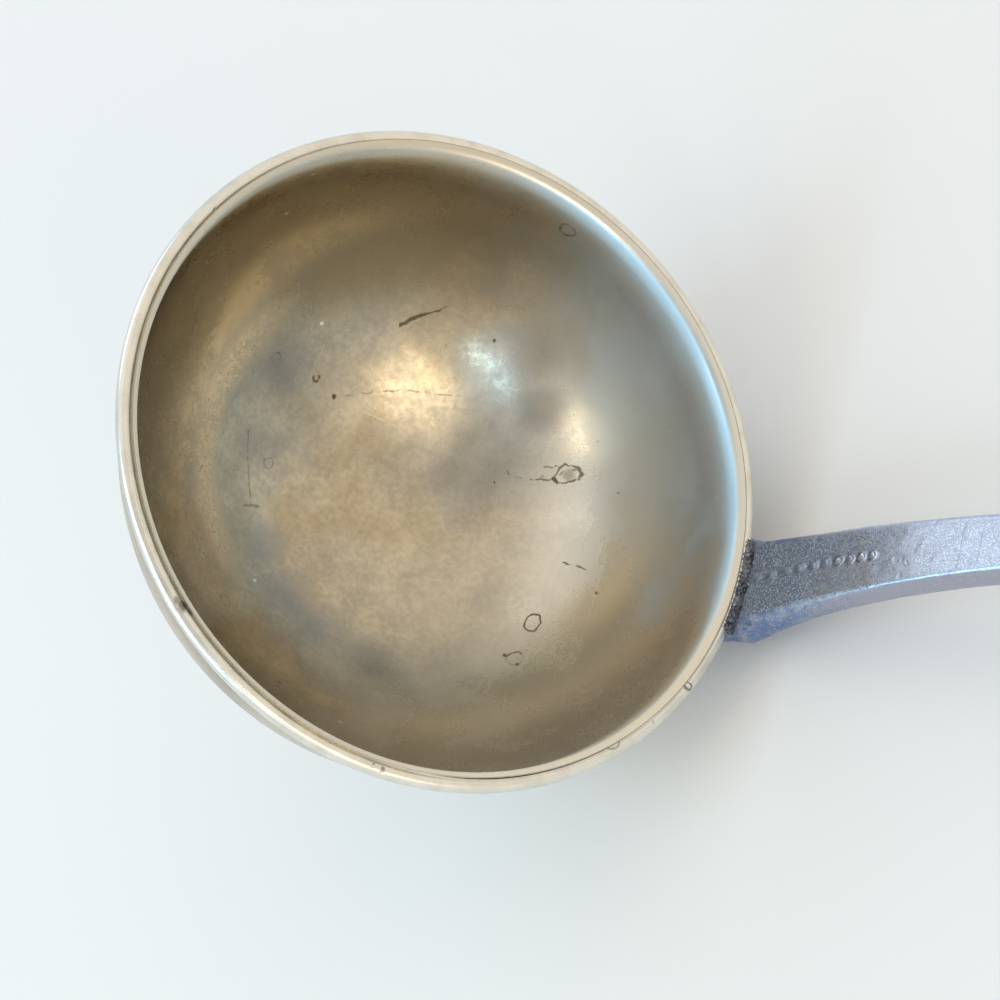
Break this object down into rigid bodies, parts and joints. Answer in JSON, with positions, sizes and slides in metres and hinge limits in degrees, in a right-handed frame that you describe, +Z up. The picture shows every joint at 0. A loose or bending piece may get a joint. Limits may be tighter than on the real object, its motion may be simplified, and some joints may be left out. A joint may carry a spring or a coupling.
{
  "type": "soup ladle",
  "caption": "Deep round ladle bowl of pale metal with a soldered wire rim, and a dark forged iron handle with punched dots and a hanging hook; scoops and pours soup.",
  "frame": {"origin": "on the table that the ladle lies on, under the middle of its length", "axes": "+Z is up from the table and +X runs along the ladle from the bowl to the hook; the ladle lies on the tongue's back and the hook's tip, so the bowl's mouth looks to +X and up, 32 degrees above level; the XZ plane is its plane of symmetry, apart from the joint in the rim wire"},
  "size_m": [0.3056, 0.096, 0.089],
  "materials": {
    "bowl": "raised sheet of a pale copper alloy such as nickel silver, worn and spotted",
    "rim_wire": "drawn round wire of the same pale alloy, rubbed bright",
    "rim_solder": null,
    "handle": "forged iron, dark and granular near the bowl, rubbed smooth towards the grip",
    "handle_solder": null
  },
  "bodies": {
    "root": {"bowl": "bowl", "rim_wire": "rim_wire", "rim_solder": "rim_solder", "handle": "handle", "handle_solder": "handle_solder"}
  },
  "joints": []
}
